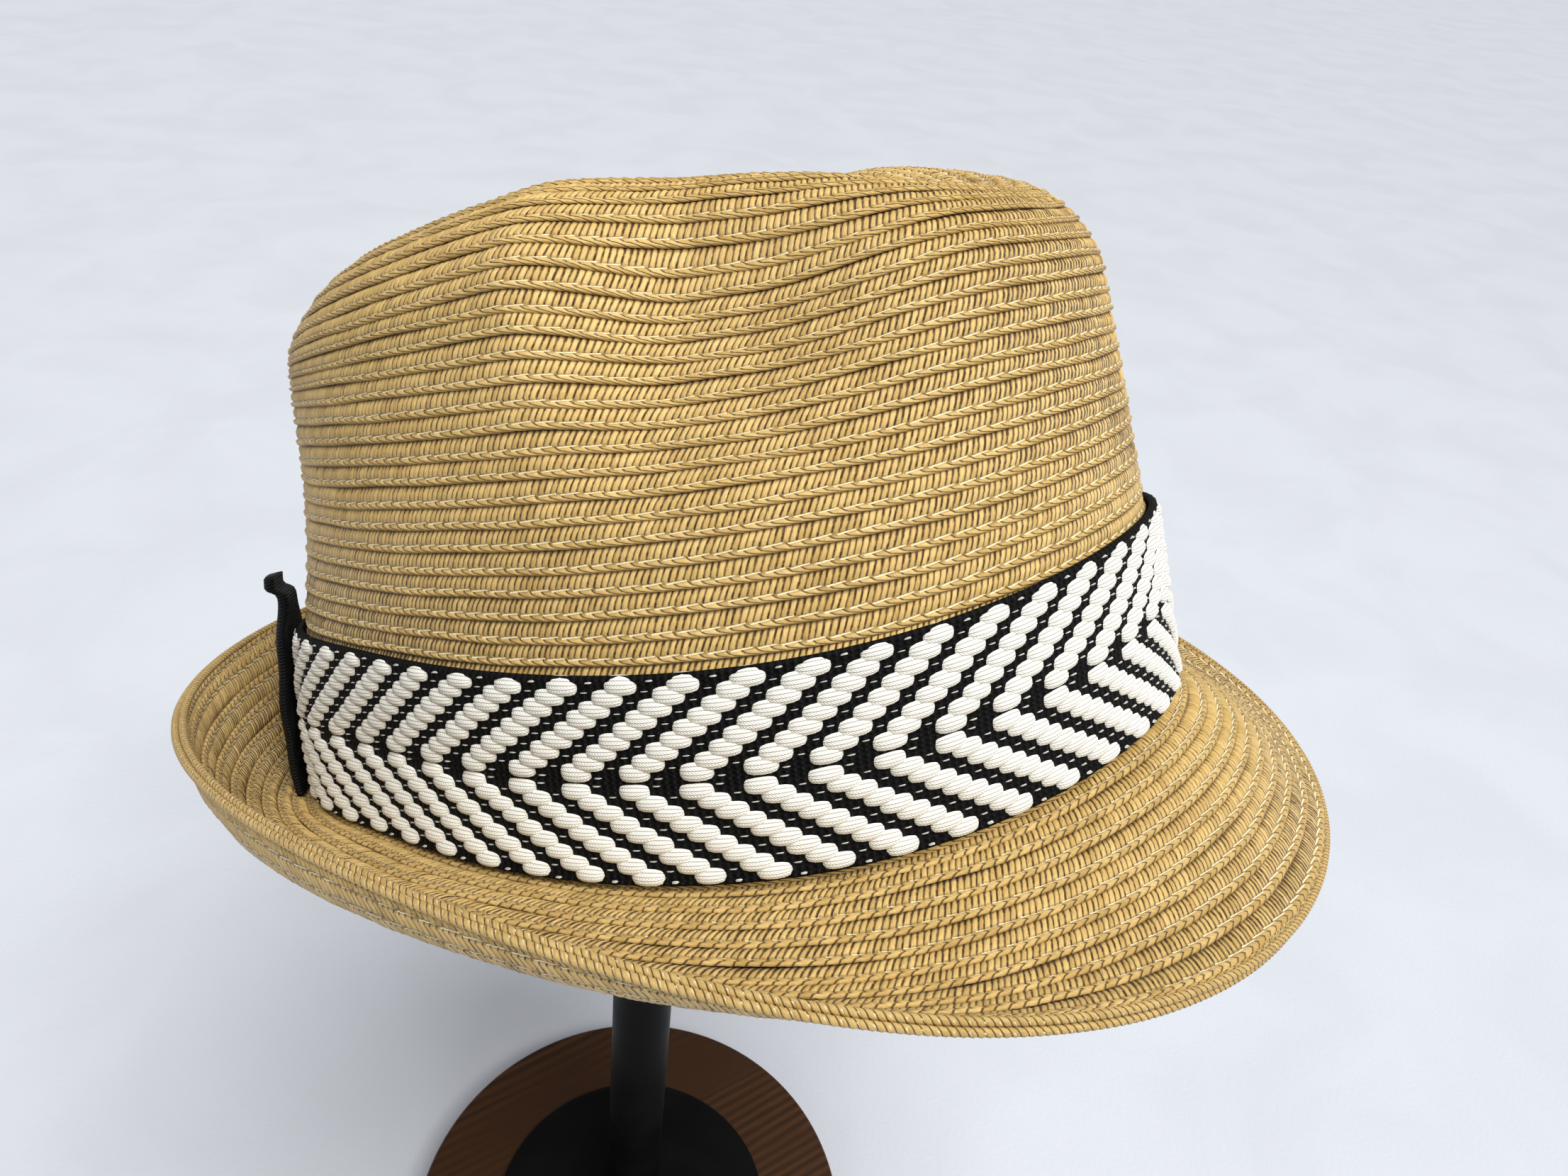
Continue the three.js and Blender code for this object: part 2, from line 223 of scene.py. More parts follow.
def blockSection(a):
    # heights and lengths of the uncreased block's section at angle a
    f = crownForm
    front = np.clip((np.cos(a) - f["frontFrom"]) / (1 - f["frontFrom"]), 0, 1)
    drop = f["frontDrop"] * front ** f["frontPower"]
    top = f["height"] - drop
    wall = top - f["shoulder"] - f["foot"]
    arc = f["shoulder"] * np.pi / 2
    tip = f["halfWidth"] - f["taperWidth"] * top - f["lean"] * (top / 100) ** 3 - f["shoulder"]
    return drop, wall, arc, tip


def blockPoint(a, s):
    # up the tapering wall, round the shoulder, then in over the tip to a short middle line
    f = crownForm
    drop, wall, arc, _ = blockSection(a)
    bend = np.clip((s - wall) / f["shoulder"], 0, np.pi / 2)
    tip = np.maximum(s - wall - arc, 0)
    rise = np.minimum(s, wall) + f["shoulder"] * np.sin(bend) + f["foot"]
    high = np.maximum(rise, 0)
    inset = f["shoulder"] * (1 - np.cos(bend)) + tip + f["lean"] * (high / 100) ** 3
    dome = (drop + f["tipRise"]) * (1 - (1 - np.clip(tip / f["tipRun"], 0, 1)) ** 2)
    length = f["halfLength"] - f["taperLength"] * high - inset
    width = np.maximum(f["halfWidth"] - f["taperWidth"] * high - inset, 0)
    return np.stack([length * np.cos(a), width * np.sin(a), rise + dome], axis=-1)


def crownPoint(a, s):
    # The block with its top pressed, its sides pinched and its middle creased. The crease is a bell across
    # the crown, fading at its two ends; the back sinks by a rounded ramp; each press is a smooth step.
    d = crownDents
    x, yBlock, zBlock = np.moveaxis(blockPoint(a, s), -1, 0)
    top = risen(zBlock, *d["press"])
    far = np.maximum(yBlock - d["farFrom"], d["farLeast"])
    z = zBlock + d["farSlope"] * far * smooth(x / d["farOver"]) * top
    behind = d["backFrom"] - x
    z = z - d["backDrop"] * top * (behind + np.hypot(behind, d["backRound"])) / (2 * d["backOver"])
    pinch = risen(x, *d["pinchBack"]) * (1 - risen(x, *d["pinchFront"])) * risen(zBlock, *d["pinchLevel"])
    y = yBlock * (1 - d["pinchDepth"] * pinch)
    z = z - d["pinchSink"] * pinch * (1 - d["pinchEase"] * risen(zBlock, *d["pinchTop"]))
    along = np.clip((x - d["creaseBack"]) / (d["creaseFront"] - d["creaseBack"]), 0, 1)
    ends = risen(x, *d["backEnd"]) * (1 - risen(x, *d["frontEnd"]))
    bell = np.exp(-(y / between(d["creaseHalf"], along)) ** 2)
    z = z - between(d["creaseDeep"], along) * ends * bell * risen(zBlock, *d["creaseLevel"])
    z = z + footWave(a) * (1 - smooth(zBlock / crownForm["waveUpTo"]))
    return np.stack([x, y, z], axis=-1) + wayOut(a + 0 * z) * cornerOut(a, zBlock)[..., None]


def crownNormal(a, s):
    # across the surface's two directions, by small steps, kept clear of the tip's middle line
    _, wall, arc, tip = blockSection(a)
    s = np.clip(s, 0.4, wall + arc + tip - 0.8)
    along = crownPoint(a + smallTurn, s) - crownPoint(a - smallTurn, s)
    up = crownPoint(a, s + 0.3) - crownPoint(a, s - 0.3)
    return unit(np.cross(along, up))


# The brim's surface

brimForm = {
    "halfLength": 99.5, "halfWidth": 83.0, "root": -2.3,
    "climb": (0.264, -0.805, -0.222, -0.051, 0.071, 0.013, 0.02),
    "curlIn": (0.205, -0.61, -0.015, 0, -0.047, 0, 0),
    "curlOut": (0.60, -0.14, -0.55, 0, 0, 0, 0),
    "reach": (43.6, -1.5, 1.8, 0, 0, 0, 0),
    "pullIn": 0.38, "pullOut": 0.46,
}


def around(c, a):
    # a constant, then shares of the angle's cos, cos of twice it, cos of three times it, its sin,
    # sin of twice it and cos of four times it
    waves = (1, np.cos(a), np.cos(2 * a), np.cos(3 * a), np.sin(a), np.sin(2 * a), np.cos(4 * a))
    return sum(share * wave for share, wave in zip(c, waves))


def brimPoint(a, t):
    # each section is a cubic curve from the crown's foot, t 0, to the brim's edge, t 1
    b = brimForm
    climb = around(b["climb"], a)
    inner = climb - around(b["curlIn"], a)
    outer = climb + around(b["curlOut"], a)
    reach = around(b["reach"], a)
    end = reach * np.stack([np.cos(climb), np.sin(climb)])
    first = b["pullIn"] * reach * np.stack([np.cos(inner), np.sin(inner)])
    second = end - b["pullOut"] * reach * np.stack([np.cos(outer), np.sin(outer)])
    away, rise = 3 * t * (1 - t) ** 2 * first + 3 * t * t * (1 - t) * second + t ** 3 * end
    away = away + cornerOut(a, 0) * (1 - t) ** 2
    out = unit(np.stack([np.cos(a) / b["halfLength"], np.sin(a) / b["halfWidth"]], axis=-1))
    return np.stack([b["halfLength"] * np.cos(a) + away * out[..., 0],
                     b["halfWidth"] * np.sin(a) + away * out[..., 1],
                     b["root"] + footWave(a) + rise], axis=-1)


def brimNormal(a, t):
    # looks up from the brim's top side
    t = np.clip(t, 0.004, 0.996)
    along = brimPoint(a + smallTurn, t) - brimPoint(a - smallTurn, t)
    out = brimPoint(a, t + 0.003) - brimPoint(a, t - 0.003)
    return unit(np.cross(out, along))


# Shader nodes. A value is a socket or a number; sockets carry their tree with them.

def addNode(tree, kind, **settings):
    node = tree.nodes.new(kind)
    for key, value in settings.items():
        setattr(node, key, value)
    return node


def join(source, target):
    if isinstance(source, bpy.types.NodeSocket):
        target.id_data.links.new(source, target)
    else:
        target.default_value = source


def joinAll(values, node, numbers):
    for k, value in zip(numbers, values):
        join(value, node.inputs[k])


def sums(operation, *values, clamp=False):
    # one Math node
    tree = next(value.id_data for value in values if isinstance(value, bpy.types.NodeSocket))
    node = addNode(tree, "ShaderNodeMath", operation=operation, use_clamp=clamp)
    joinAll(values, node, range(len(values)))
    return node.outputs[0]


def times(first, second):
    return sums("MULTIPLY", first, second)


def plus(first, second, clamp=False):
    return sums("ADD", first, second, clamp=clamp)


def minus(first, second):
    return sums("SUBTRACT", first, second)


def apart(first, second):
    return sums("ABSOLUTE", minus(first, second))


def ramped(value, low, high, to=(0.0, 1.0)):
    # smooth step of a value between two limits
    node = addNode(value.id_data, "ShaderNodeMapRange", interpolation_type="SMOOTHSTEP")
    joinAll((value, low, high, *to), node, range(5))
    return node.outputs[0]


def blended(share, first, second):
    # from the first colour at 0 to the second at 1
    node = addNode(share.id_data, "ShaderNodeMix", data_type="RGBA")
    colours = [(*value, 1.0) if isinstance(value, tuple) else value for value in (first, second)]
    joinAll((share, *colours), node, (0, 6, 7))
    return node.outputs[2]


def noiseAt(vector, scale, detail=3.0, roughness=0.55, distortion=0.0):
    node = addNode(vector.id_data, "ShaderNodeTexNoise")
    joinAll((vector, scale, detail, roughness, distortion), node,
            ("Vector", "Scale", "Detail", "Roughness", "Distortion"))
    return node.outputs["Fac"]


def combined(x, y, z=0.0):
    node = addNode(x.id_data, "ShaderNodeCombineXYZ")
    joinAll((x, y, z), node, range(3))
    return node.outputs[0]


def stretched(parts, scales):
    # a vector of the parts, each times its own scale
    return combined(*(times(part, scale) for part, scale in zip(parts, scales)))


def parted(vector):
    node = addNode(vector.id_data, "ShaderNodeSeparateXYZ")
    join(vector, node.inputs[0])
    return node.outputs


def placeIn(tree):
    # the point's place in the piece's own metres
    return addNode(tree, "ShaderNodeTexCoord").outputs["Object"]


def newGroup(name, inputs, outputs):
    # inputs: name and start value, a number unless None; outputs: names
    tree = bpy.data.node_groups.new(name, "ShaderNodeTree")
    for label, value in inputs.items():
        kind = "NodeSocketVector" if value is None else "NodeSocketFloat"
        socket = tree.interface.new_socket(label, in_out="INPUT", socket_type=kind)
        if value is not None:
            socket.default_value = value
    for label in outputs:
        tree.interface.new_socket(label, in_out="OUTPUT", socket_type="NodeSocketFloat")
    return tree, addNode(tree, "NodeGroupInput").outputs, addNode(tree, "NodeGroupOutput").inputs


def makeBraidGroup():
    # Strand relief and masks of the braid. Along and Across are the braid's own mm; the rope edge lies below
    # Groove, the slanted strands above it. A strand is round between two gaps; the thread is in the groove.
    tree, given, out = newGroup(
        "braid strands",
        {"Along": 0.0, "Across": 0.0, "Strand Pitch": 1.24, "Rope Pitch": 2.48, "Groove": 1.35,
         "Stitch Pitch": 4.3, "Thread Width": 0.15},
        ("Height", "Gap Shade", "Shade", "Thread", "Fibre", "Rope"))
    along, across, groove = given["Along"], given["Across"], given["Groove"]
    rope = ramped(across, plus(groove, 0.05), minus(groove, 0.15))
    strandPhase = plus(sums("DIVIDE", along, given["Strand Pitch"]), 0.5)
    # below the rope's ridge the strands turn back, as in a herringbone
    turned = times(sums("MAXIMUM", minus(0.62, across), 0.0), 3.2)
    ropePhase = plus(sums("DIVIDE", plus(along, turned), given["Rope Pitch"]), 0.5)

    def randomOf(phase, shift):
        # one random number a strand
        node = addNode(tree, "ShaderNodeTexWhiteNoise", noise_dimensions="1D")
        join(plus(sums("FLOOR", phase), shift), node.inputs["W"])
        return node.outputs["Value"]

    def fromMiddle(phase):
        # 0 on the strand's back, 1 in the gap beside it
        return times(apart(sums("FRACT", phase), 0.5), 2.0)

    def pick(first, second):
        # the first value on the slanted strands, the second on the rope
        node = addNode(tree, "ShaderNodeMix", data_type="FLOAT")
        joinAll((rope, first, second), node, (0, 2, 3))
        return node.outputs[0]

    strandRandom = randomOf(strandPhase, 0.0)
    ropeRandom = randomOf(ropePhase, 0.37)
    strandEdge = fromMiddle(strandPhase)
    ropeEdge = fromMiddle(ropePhase)
    strandHeight = minus(1.0, sums("POWER", strandEdge, 2.4))
    ropeHeight = minus(1.0, sums("POWER", ropeEdge, 5.0))
    # painted shade in the gaps between the strands; some gaps open into holes painted dark as shade, and
    # some strands end in a notch painted dark as shade
    patch = noiseAt(stretched((along, across), (0.42, 0.55)), 1.0)
    hole = times(ramped(patch, 0.38, 0.58), ramped(strandEdge, 0.45, 0.85))
    strandGapShade = sums("MAXIMUM", times(ramped(strandEdge, 0.62, 0.95), 0.85), hole)
    notch = times(ramped(strandRandom, 0.48, 0.66), ramped(across, 2.75, 3.4, (0.0, 0.95)))
    strandGapShade = sums("MAXIMUM", strandGapShade, times(notch, ramped(strandEdge, 0.30, 0.72)))
    # painted shade in the gaps between the rope's twists
    ropeGapShade = times(ramped(ropeEdge, 0.68, 0.96), 0.85)

    fibre = noiseAt(stretched((along, across), (7.0, 0.9)), 1.0, 2.0)
    # each stitch of the thread lies aslant in the groove, and at its ends a dimple is painted in as shade
    step = sums("FRACT", sums("DIVIDE", along, given["Stitch Pitch"]))
    middle = plus(plus(groove, -0.08), times(minus(0.5, step), 0.34))
    line = ramped(sums("DIVIDE", apart(across, middle), given["Thread Width"]), 1.0, 0.55)
    ends = times(ramped(step, 0.04, 0.12), ramped(step, 0.97, 0.90))
    thread = times(line, ends)
    fromGroove = apart(across, groove)
    dimple = times(times(minus(1.0, ends), 0.45), ramped(fromGroove, 0.55, 0.15))
    # the foot of the strands and the groove lie in shade
    shade = ramped(fromGroove, 0.42, 0.1, (0.0, 0.45))
    # all the painted shade of the braid, kept off the thread
    gap = sums("MAXIMUM", sums("MAXIMUM", pick(strandGapShade, ropeGapShade), dimple), shade)
    bare = minus(1.0, thread)
    height = plus(times(pick(strandHeight, ropeHeight), bare), times(minus(fibre, 0.5), 0.6))
    join(times(gap, bare), out["Gap Shade"])
    join(pick(strandRandom, ropeRandom), out["Shade"])
    join(thread, out["Thread"])
    join(fibre, out["Fibre"])
    join(rope, out["Rope"])
    join(plus(height, times(thread, 0.6)), out["Height"])
    return tree


def makeClothGroup():
    # Plain black weave: sine ribs across and fine sine cells, with lint, and a Tone that follows the rib
    # crests and is used for painted light and shade.
    tree, given, out = newGroup("woven ribs", {"Vector": None, "Rib Pitch": 0.9, "Cell Pitch": 1.0},
                                ("Height", "Tone", "Lint"))
    vector = given["Vector"]
    x, y, _ = parted(vector)
    ribs = sums("SINE", times(sums("DIVIDE", x, given["Rib Pitch"]), fullTurn))
    cells = sums("SINE", times(sums("DIVIDE", y, given["Cell Pitch"]), fullTurn))
    both = plus(times(ribs, 0.6), times(times(ribs, cells), 0.4))
    join(plus(both, times(noiseAt(vector, 5.0, 4.0), 0.5)), out["Height"])
    join(ramped(both, -1.0, 1.0), out["Tone"])
    join(ramped(noiseAt(vector, 1.7, 5.0, 0.7), 0.60, 0.75), out["Lint"])
    return tree


def makeHandledGroup():
    # Fine specks and faint wiping marks of a handled hard surface.
    tree, given, out = newGroup("handled finish", {"Vector": None, "Speck Scale": 900.0, "Mark Scale": 35.0},
                                ("Speck", "Mark"))
    join(noiseAt(given["Vector"], given["Speck Scale"], 2.0, 0.5), out["Speck"])
    join(ramped(noiseAt(given["Vector"], given["Mark Scale"], 5.0, 0.5), 0.35, 0.75), out["Mark"])
    return tree


braidGroup = makeBraidGroup()
clothGroup = makeClothGroup()
handledGroup = makeHandledGroup()
print("shader groups made")


# Materials

def newMaterial(name):
    material = bpy.data.materials.new(name)
    material.use_nodes = True
    tree = material.node_tree
    return material, tree, tree.nodes["Principled BSDF"]


def useGroup(tree, group, values):
    node = addNode(tree, "ShaderNodeGroup", node_tree=group)
    joinAll(values.values(), node, values)
    return node.outputs


def finishShader(shader, colour, roughness, specular, sheen, bump):
    # bump: height, strength and distance in metres
    joinAll((colour, roughness, specular, sheen), shader,
            ("Base Color", "Roughness", "Specular IOR Level", "Sheen Weight"))
    node = addNode(shader.id_data, "ShaderNodeBump")
    joinAll(bump, node, ("Height", "Strength", "Distance"))
    join(node.outputs["Normal"], shader.inputs["Normal"])


def uvParts(tree):
    return parted(addNode(tree, "ShaderNodeUVMap", uv_map="surface").outputs[0])[:2]


strawFinish = {
    # gap is the colour of the shade painted into the gaps and under each row's tuck
    "pale": (0.84, 0.580, 0.210), "golden": (0.52, 0.322, 0.084), "gap": (0.075, 0.036, 0.007),
    "thread": (0.95, 0.82, 0.52), "roughness": (0.30, 0.54), "specular": 0.42, "sheen": 0.06,
    "bump": (1.0, 0.00028), "rowEnd": 4.1, "tuckShade": (0.0, 0.65),
}


def makeStraw(name, brightness, tones=0.62):
    # glossy paper strands: tone by strand and by patch, shade painted into the gaps, cream sewing thread
    f = strawFinish
    material, tree, shader = newMaterial(name)
    along, across = uvParts(tree)
    braid = useGroup(tree, braidGroup, {"Along": along, "Across": across})
    patch = noiseAt(placeIn(tree), 38.0, 4.0)
    share = plus(times(braid["Shade"], tones), times(minus(patch, 0.5), 0.9))
    share = plus(share, times(minus(braid["Fibre"], 0.5), 1.2))
    share = plus(share, times(braid["Rope"], 0.12), clamp=True)
    # brightness scales both tones; the brim's lower brightness is painted shade
    pale, golden = (tuple(min(1.0, x * brightness) for x in f[tone]) for tone in ("pale", "golden"))
    colour = blended(braid["Gap Shade"], blended(share, pale, golden), f["gap"])
    # each row is painted darker where it tucks in under the next, as painted shade
    colour = blended(ramped(across, f["rowEnd"] - 0.7, f["rowEnd"], f["tuckShade"]), colour, f["gap"])
    colour = blended(braid["Thread"], colour, f["thread"])
    roughness = ramped(braid["Fibre"], 0.25, 0.75, f["roughness"])
    finishShader(shader, colour, roughness, f["specular"], f["sheen"], (braid["Height"], *f["bump"]))
    return material


# the brim's copy is darker than the crown's: painted shade on the brim
strawCrown = makeStraw("golden paper braid", 0.95)
strawBrimShaded = makeStraw("golden paper braid of the brim", 0.86)
strawEdge = makeStraw("golden paper braid of the edge", 0.84, tones=0.4)


# Sewn braid: one profile carried along a spiral

braidRow = {
    "pitch": 4.1, "column": 0.62, "strand": 1.24, "ropeTwist": 2.48, "middle": 2.0, "stepsPerTurn": 400,
    # the profile's points from the rope edge, over the groove and the strands, and back inside:
    # across the row, out of the surface, strand relief, rope relief, forward slant
    "profile": (
        (-0.12, -0.12, 0.00, 0.08, 2.10),
        (0.20, 0.42, 0.00, 0.05, 1.50),
        (0.85, 0.52, 0.00, 0.15, 0.60),
        (1.35, -0.08, 0.02, 0.00, 0.00),
        (1.75, 0.18, 0.17, 0.00, 0.12),
        (2.85, 0.20, 0.24, 0.00, 0.60),
        (3.95, -0.24, 0.18, 0.00, 1.10),
        (5.35, -1.00, 0.00, 0.00, 1.50),
    ),
    "plainInside": ((2.60, -1.62, 0.00, 0.00, 0.90),),
    "wovenInside": (
        (3.70, -1.62, -0.16, 0.00, 0.95),
        (1.90, -1.40, -0.18, 0.00, 0.15),
        (1.00, -1.15, 0.00, -0.06, 0.60),
    ),
    "coarsePoints": [0, 1, 3, 6, 7, 8],
    # how unevenly the strands lie: seed, size and shortest wave of each wobble
    "slantWaver": (17, 0.24, 4.5), "spacingWaver": (13, 0.28, 3.0), "waver": (5, 0.42),
    "puff": (9, 0.14, 9.0), "loose": 0.25,
}


def braidPiece(name, spiral, first, last, startRun, material, nodes, coarse, lean, inside):
    # Columns stand half a strand apart along the spiral, on the strands' backs and in their gaps by turns.
    # Each follows the strands' slant, so that every point of the profile has its own turn of the spiral.
    b = braidRow
    turns = np.linspace(first, last, int((last - first) * b["stepsPerTurn"]) + 2)
    run = runAlong(spiral(turns, b["middle"], 0.0 * turns))
    total = run[-1]
    u = np.linspace(0, total, max(4, round(total / (b["column"] * coarse))) + 1)
    columnRun = u + startRun
    profile = np.array(b["profile"] + b[inside])
    if coarse > 1:
        profile = profile[b["coarsePoints"]]
    across, lift, strandRelief, ropeRelief, slant = profile.T
    slanted = slant * (1 + wobble(columnRun, *b["slantWaver"])[:, None])
    shifted = u[:, None] + lean * slanted + wobble(columnRun, *b["spacingWaver"])[:, None]
    # past the ends of the piece the turn goes on at the last step's rate
    inRange = np.clip(shifted, 0, total)
    perMm = (turns[-1] - turns[-2]) / max(run[-1] - run[-2], 1e-6)
    step = np.interp(inRange, run, turns) + (shifted - inRange) * perMm
    loose = np.random.default_rng(int(startRun) + 11).normal(0, b["loose"], len(u))[:, None]
    relief = 0
    if coarse == 1:
        backs = np.cos(fullTurn * columnRun / b["strand"])[:, None]
        twist = np.cos(fullTurn * columnRun / b["ropeTwist"])[:, None]
        relief = strandRelief * (backs + loose) + ropeRelief * (twist + 0.4 * loose)
    side = wobble(columnRun, *b["waver"])[:, None] * (1 - 0.5 * across / 4.6)
    puff = wobble(columnRun, *b["puff"])[:, None]
    points = onStand(spiral(step, across + side, lift + relief + puff))
    uv = spanned(columnRun[:, None], np.append(across, across[0]))
    makeTube(name, points, uv, material, nodes)
    return startRun + total


def sewRows(names, limits, spiral, material, node, coarse, lean, inside):
    # the pieces of one spiral; its length runs on from each to the next
    run = 0.0
    for k, name in enumerate(names):
        run = braidPiece(name, spiral, limits[k], limits[k + 1], run, material, (node,),
                         coarse[k], lean, inside)
    print(node, "braid done", round(run), "mm long")


crownRows = {"shift": -0.25, "stretchFrom": 92.0, "nominal": 188.6, "pieces": (34.0, 71.0, 113.0),
             "lowest": -1.6}


def crownStretch(p, a):
    # nominal distance up the crown to the real one: above the wall the rows spread to reach the middle line
    _, wall, arc, tip = blockSection(a)
    end = wall + arc + tip
    start = crownRows["stretchFrom"]
    s = np.where(p < start, p, start + (p - start) * (end - start) / (crownRows["nominal"] - start))
    return np.clip(s, crownRows["lowest"], end)


def crownSpiral(turns, across, lift):
    # the spiral climbs one pitch for each turn backwards round the crown
    a = -fullTurn * turns
    s = crownStretch(braidRow["pitch"] * (turns + crownRows["shift"]) + across, a)
    return crownPoint(a, s) + crownNormal(a, s) * np.asarray(lift)[..., None]


crownLimits = [p / braidRow["pitch"] - crownRows["shift"]
               for p in (-braidRow["pitch"], *crownRows["pieces"], crownRows["nominal"])]
sewRows(("crown_rows_foot", "crown_rows_low", "crown_rows_high", "crown_rows_tip"), crownLimits, crownSpiral,
        strawCrown, "crown", (8, 1, 1, 1), -1, "plainInside")

brimRows = {"count": 10, "edge": 0.976, "rise": 1.05, "split": 5.6, "runOut": 1.2, "innermost": -0.035}


def brimSpiral(turns, across, lift):
    # the spiral goes out by one row for each turn; the last turn narrows to nothing under the edge ropes
    rows = brimRows
    a = fullTurn * turns
    width = np.clip(rows["count"] + rows["runOut"] - turns, 0, 1)
    outer = np.minimum(turns, rows["count"])
    t = (outer - np.asarray(across) / braidRow["pitch"] * width) / rows["count"] * rows["edge"]
    t = np.clip(t, rows["innermost"], 1)
    return brimPoint(a, t) + brimNormal(a, t) * (np.asarray(lift) + rows["rise"])[..., None]


brimLimits = (0.0, brimRows["split"], brimRows["count"] + brimRows["runOut"])
sewRows(("brim_rows_inner", "brim_rows_outer"), brimLimits, brimSpiral, strawBrimShaded, "brim",
        (1, 1), 1, "wovenInside")

edgeRope = {"radiusOut": 0.86, "radiusUp": 0.78, "at": 0.986, "apart": 0.76, "relief": 0.10, "twist": 1.4,
            "perTwist": 3, "sides": 8, "sway": 0.12, "steps": 1401, "uvAcross": (0.62, 1.05)}


def makeEdgeRope(name, level, phase):
    # a round cord along the brim's edge; its relief is a cosine that winds round it as it goes
    e = edgeRope
    angles = np.linspace(0, fullTurn, e["steps"])
    run = runAlong(brimPoint(angles, e["at"] + 0 * angles))
    columns = round(run[-1] / e["twist"]) * e["perTwist"]
    a = np.interp(np.linspace(0, run[-1], columns + 1), run, angles)[:-1]
    at = e["at"] + 0 * a
    up = brimNormal(a, at)
    centre = brimPoint(a, at) + up * (level * e["apart"])
    out = np.cross(unit(brimPoint(a + smallTurn, at) - brimPoint(a - smallTurn, at)), up)
    ring = fullTurn * np.arange(e["sides"]) / e["sides"]
    turnsOn = fullTurn * np.arange(columns)[:, None] / e["perTwist"]
    size = 1 + e["relief"] * np.cos(2 * ring + turnsOn + phase) / e["radiusOut"]
    columnLength = e["twist"] / e["perTwist"]
    sway = wobble(np.arange(columns) * columnLength, 31 + level, e["sway"])[:, None]
    outward = e["radiusOut"] * np.cos(ring) * size + sway
    upward = e["radiusUp"] * np.sin(ring) * size
    points = centre[:, None] + out[:, None] * outward[..., None] + up[:, None] * upward[..., None]
    twistUv = np.arange(columns + 1)[:, None] * columnLength + np.linspace(0, e["twist"] * 2, e["sides"] + 1)
    uv = spanned(twistUv * braidRow["ropeTwist"] / e["twist"], np.linspace(*e["uvAcross"], e["sides"] + 1))
    makeTube(name, onStand(points), uv, strawEdge, ("brim",), closed=True)


makeEdgeRope("brim_edge_rope_upper", 1, 0.0)
makeEdgeRope("brim_edge_rope_lower", -1, 1.3)
print("edge ropes done")


# The woven band

bandForm = {
    "halfLength": (103.0, 101.0), "halfWidth": (86.5, 84.5), "height": 40.1, "around": 591.0,
    "repeats": 52, "perRepeat": 4, "rowsEachSide": 9, "rowPitch": 2.0, "middle": 20.4, "middleHalf": 0.75,
    "groundPerRepeat": 10, "ripple": 0.10, "steps": 2881,
    # height and distance out: the outer face with rolled selvedges and a sunk middle line, then the inside
    "section": (
        (0.7, -0.75), (0.9, -0.2), (1.5, -0.05), (2.3, -0.45), (8, -0.45), (14, -0.45), (18.9, -0.45),
        (19.7, -0.6), (20.4, -0.15), (21.1, -0.6), (21.9, -0.45), (28, -0.45), (34, -0.45), (38.5, -0.45),
        (39.2, -0.05), (39.8, -0.15), (40.1, -0.7),
        (39.9, -1.6), (34, -1.9), (20.4, -1.9), (8, -1.9), (0.9, -1.7),
    ),
}
# grid: points along and across each one
floatForm = {"halfLength": 3.35, "halfHeight": 1.86, "lowerShare": 0.92, "rise": 1.25, "grid": (7, 11),
             "threads": 5, "tiltOut": 0.22, "upperStart": -1.35, "lowerStart": -1.55}
# halfHeight and rise: of the slips in the gaps, then of the dots at the edges; dots: column and height
dashForm = {"halfLength": 1.0, "halfHeight": (0.10, 0.42), "rise": (0.46, 0.95), "grid": (4, 3),
            "gapShift": 1.5, "gapSide": 1.0, "upperDots": (0.6, 39.1), "lowerDots": (0.2, 1.6)}
pillowForm = {"endPower": 2.3, "thinnest": 0.30, "sink": 0.85, "under": 0.35, "ridge": 0.10,
              "ridgeDepth": 0.8, "wander": (0.03, 0.04, 0.06)}


def bandPoint(a, height, out):
    # an oval that draws in a little towards its top and follows the brim line
    b = bandForm
    share = height / b["height"]
    length = between(b["halfLength"], share) + out
    width = between(b["halfWidth"], share) + out
    oval = spanned(length * np.cos(a), width * np.sin(a), footWave(a) + height)
    return oval + wayOut(a + 0 * oval[..., 0]) * cornerOut(a, height + 0 * a)[..., None]


def bandAngle(column):
    # angle round the head at a column of the weave; the columns are evenly spaced along the band
    b = bandForm
    fine = np.linspace(0, fullTurn, b["steps"])
    run = runAlong(bandPoint(fine, b["middle"], 0.0))
    return np.interp(column, run * (b["repeats"] * b["perRepeat"]) / run[-1], fine)


def makeWovenMaterial(name, vectorOf, pitches, dark, pale, lint, lintShare, roughness, specular, bump):
    # black weave: light and shade are painted along the ribs, paler on their crests, and pale lint lies on
    # it in patches
    material, tree, shader = newMaterial(name)
    vector = combined(*vectorOf(*uvParts(tree)))
    weave = useGroup(tree, clothGroup, {"Vector": vector, "Rib Pitch": pitches[0], "Cell Pitch": pitches[1]})
    # paler on the rib crests and darker between them: painted light and shade of the ribs
    colour = blended(weave["Tone"], dark, pale)
    colour = blended(times(weave["Lint"], lintShare), colour, lint)
    finishShader(shader, colour, ramped(weave["Tone"], 0.0, 1.0, roughness), specular, 0.0,
                 (weave["Height"], *bump))
    return material


# shade is the dark colour of the painted shade and of the grime
cottonFinish = {"cotton": (0.94, 0.92, 0.84), "shade": (0.44, 0.42, 0.36), "roughness": (0.72, 0.88),
                "lineShade": 0.75, "rimShade": 0.40, "grimeShade": 0.35, "twistPitch": 75.0,
                "specular": 0.3, "sheen": 0.12, "bump": (0.8, 0.00022)}


